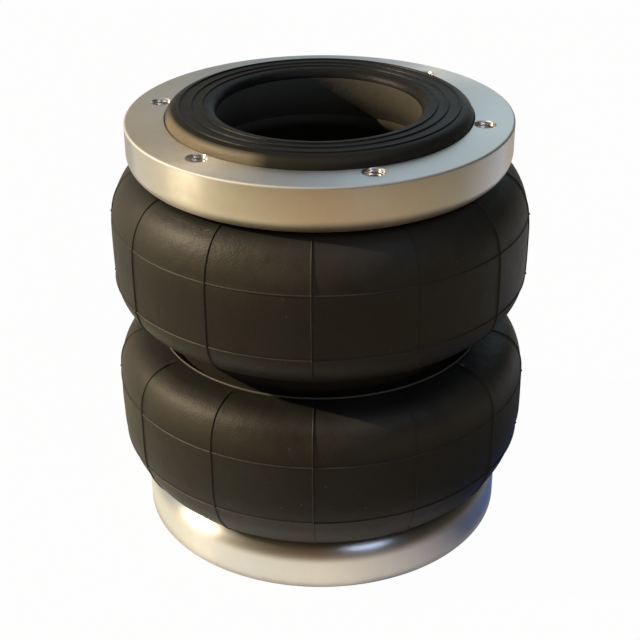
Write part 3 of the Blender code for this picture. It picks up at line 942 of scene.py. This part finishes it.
# Cards that lie on the floor round the object: inner and outer radius, height, the arc they cover in
# degrees, and their shades, which run from behind the object at 0 past its left at 0.25, its front at
# 0.5 and its right at 0.75. The foot card is the floor that the lower ring's round edge mirrors, the
# shade card the floor that lies half in the bellows' shadow, and the ground card the floor beyond.
# The foot and shade cards paint the bellows' shadow on the floor as a dark blue reflection at their right.
FLOOR_CARDS = {
    "foot_card": (0.0775, 0.12, 0.0005, (90, 449.9), [
        (0.0, "#8e929e"), (0.2, "#fff6e0"), (0.32, "#fff8de"), (0.42, "#fffaea"), (0.5, "#fdf1de"),
        (0.58, "#c4bcb8"), (0.66, "#545a72"), (0.78, "#586ea6"), (1.0, "#8e929e"),
    ]),
    "shade_card": (0.12, 0.2, 0.001, (90, 449.9), [
        (0.0, "#6b6a66"), (0.2, "#f6e9c8"), (0.4, "#d8c8a4"), (0.5, "#8f8068"), (0.7, "#55565c"),
        (1.0, "#6b6a66"),
    ]),
    "ground_card": (0.2, 1.2, 0.002, (140, 400), [
        (0.14, "#e4dccb"), (0.27, "#d8c79f"), (0.35, "#dac79c"), (0.5, "#c8a880"),
        (0.65, "#b09d7a"), (0.73, "#9d9380"), (0.86, "#cacbd4"),
    ]),
}

# Cards that stand up: the sky behind the object, shaded from left to right, and the dim room round
# the photographer, shaded as the floor's cards are.
SKY_HALF_WIDTH = 1.2
SKY_DISTANCE = 1.5
SKY_HEIGHTS = (0.3, 2.2)
SKY_SHADES = [
    (0.38, "#ab9c86"), (0.40, "#b4a68d"), (0.45, "#8c969c"), (0.50, "#8498a2"),
    (0.54, "#a2b8c9"), (0.583, "#b8cce0"), (0.608, "#c4d6de"),
]
HORIZON_RADIUS = 1.6
HORIZON_HEIGHT = 3.0
HORIZON_ARC = (205, 415)
HORIZON_SHADES = [
    (0.32, "#8d8468"), (0.42, "#5c4a34"), (0.5, "#5a4431"), (0.58, "#1d1a16"),
    (0.7, "#2a261f"), (0.8, "#35312a"), (0.9, "#3a3b3a"),
]


def backdrop_share(tree, camera_share, mirror_share):
    """How much plain white a ray sees: one share for the camera, another in gloss and glass."""
    seen = add_node(tree, "ShaderNodeLightPath")
    mirrored = add_node(
        tree, "ShaderNodeMath", {"operation": "MAXIMUM"},
        links={0: seen.outputs["Is Glossy Ray"], 1: seen.outputs["Is Transmission Ray"]},
    )
    partly = add_node(
        tree, "ShaderNodeMath", {"operation": "MULTIPLY"},
        {1: mirror_share}, {0: mirrored.outputs["Value"]},
    )
    return add_node(
        tree, "ShaderNodeMath", {"operation": "MULTIPLY_ADD"}, {1: camera_share},
        {0: seen.outputs["Is Camera Ray"], 2: partly.outputs["Value"]},
    )


def white_floor():
    """A white paper sweep: it stays white for the camera and in reflections, and keeps the shadow."""
    made, tree, shader = new_material("white_paper_floor")
    shader.inputs["Base Color"].default_value = linear("#bdbbb6")
    shader.inputs["Roughness"].default_value = 0.9
    shader.inputs["Specular IOR Level"].default_value = 0.1
    share = backdrop_share(tree, 0.98, 0.2)
    glow = add_node(tree, "ShaderNodeEmission", None, {"Color": (1, 1, 1, 1), "Strength": 1.0})
    mix = add_node(
        tree, "ShaderNodeMixShader",
        links={0: share.outputs["Value"], 1: shader.outputs["BSDF"], 2: glow.outputs["Emission"]},
    )
    tree.links.new(mix.outputs["Shader"], tree.nodes["Material Output"].inputs["Surface"])
    return made


def studio_world():
    """Soft sky light for the object, and plain white behind it for the camera and reflections."""
    world = bpy.data.worlds.new("studio")
    world.use_nodes = True
    tree = world.node_tree
    sky = tree.nodes["Background"]
    sky.inputs["Color"].default_value = linear("#dde6f2")
    sky.inputs["Strength"].default_value = 0.14
    share = backdrop_share(tree, 1.0, 0.45)
    white = add_node(tree, "ShaderNodeBackground", None, {"Color": (1, 1, 1, 1), "Strength": 1.0})
    mix = add_node(
        tree, "ShaderNodeMixShader",
        links={0: share.outputs["Value"], 1: sky.outputs["Background"], 2: white.outputs["Background"]},
    )
    tree.links.new(mix.outputs["Shader"], tree.nodes["World Output"].inputs["Surface"])
    bpy.context.scene.world = world


def level(radius, height, span):
    """An arc round the object at one height, in metres."""
    return [(x, y, height) for x, y in arc((0, 0), radius, *span, steps=60)]


def card(name, edges, direction, stops):
    """A glowing card between two edges that paints a reflection, which only gloss sees, shaded along X
    or round the object.
    """
    made, tree, shader = new_material(name)
    place_on = add_node(tree, "ShaderNodeTexCoord")
    if direction == "round":
        turned_on = add_node(
            tree, "ShaderNodeMapping", None,
            {"Rotation": (0.0, 0.0, math.radians(90))}, {"Vector": place_on.outputs["Object"]},
        )
        share = add_node(
            tree, "ShaderNodeTexGradient", {"gradient_type": "RADIAL"},
            links={"Vector": turned_on.outputs["Vector"]},
        ).outputs["Fac"]
    else:
        share = add_node(
            tree, "ShaderNodeSeparateXYZ", links={"Vector": place_on.outputs["Generated"]}
        ).outputs[direction]
    ramp = add_node(tree, "ShaderNodeValToRGB", links={"Fac": share})
    fill_ramp(ramp.color_ramp, [(position, linear(colour)) for position, colour in stops])
    glow = add_node(tree, "ShaderNodeEmission", None, {"Strength": 1.0}, {"Color": ramp.outputs["Color"]})
    tree.links.new(glow.outputs["Emission"], tree.nodes["Material Output"].inputs["Surface"])
    mesh = bmesh.new()
    near, far = [[mesh.verts.new(point) for point in edge] for edge in edges]
    for i in range(len(near) - 1):
        mesh.faces.new((near[i], near[i + 1], far[i + 1], far[i]))
    made_card = finish_mesh(name, mesh, made)
    made_card.visible_camera = False
    made_card.visible_diffuse = False
    made_card.visible_shadow = False


def lamp(name, kind, place_at, towards, power, colour, size):
    """A lamp that points at a place: size is a sun's width in degrees, or a disk's in metres."""
    data = bpy.data.lights.new(name, kind)
    data.energy = power
    data.color = linear(colour)[:3]
    if kind == "SUN":
        data.angle = math.radians(size)
    else:
        data.shape = "DISK"
        data.size = size
    made = bpy.data.objects.new(name, data)
    made.location = place_at
    aim = Vector(towards) - Vector(place_at)
    made.rotation_euler = aim.to_track_quat("-Z", "Y").to_euler()
    bpy.context.scene.collection.objects.link(made)


floor_mesh = bmesh.new()
bmesh.ops.create_grid(floor_mesh, x_segments=8, y_segments=8, size=FLOOR_HALF)
floor = finish_mesh("floor", floor_mesh, white_floor())
floor.location.z = -FLOOR_DROP
studio_world()

for name, (inner, outer, height, span, shades) in FLOOR_CARDS.items():
    card(name, (level(inner, height, span), level(outer, height, span)), "round", shades)
sky_edges = [[(x, SKY_DISTANCE, height) for x in (-SKY_HALF_WIDTH, SKY_HALF_WIDTH)] for height in SKY_HEIGHTS]
card("sky_card", sky_edges, "X", SKY_SHADES)
horizon_edges = [level(HORIZON_RADIUS, height, HORIZON_ARC) for height in (0.0, HORIZON_HEIGHT)]
card("horizon_card", horizon_edges, "round", HORIZON_SHADES)
lamp("low_sun", "SUN", -Vector(SUN_DIRECTION), (0, 0, 0), SUN_POWER, "#ffe6c0", SUN_WIDTH)
lamp("sky_window", "AREA", WINDOW_PLACE, WINDOW_TARGET, WINDOW_POWER, "#c9dcff", WINDOW_SIZE)

camera_data = bpy.data.cameras.new("camera")
camera_data.sensor_width = 36.0
camera_data.lens = CAMERA_LENS
camera_data.shift_x, camera_data.shift_y = CAMERA_SHIFT
camera = bpy.data.objects.new("camera", camera_data)
bpy.context.scene.collection.objects.link(camera)
aim = (Vector(CAMERA_TARGET) - Vector(CAMERA_PLACE)).to_track_quat("-Z", "Y").to_matrix().to_4x4()
roll = Matrix.Rotation(math.radians(CAMERA_ROLL), 4, "Z")
camera.matrix_world = Matrix.Translation(CAMERA_PLACE) @ aim @ roll
bpy.context.scene.camera = camera
bpy.context.scene.view_settings.view_transform = "Standard"
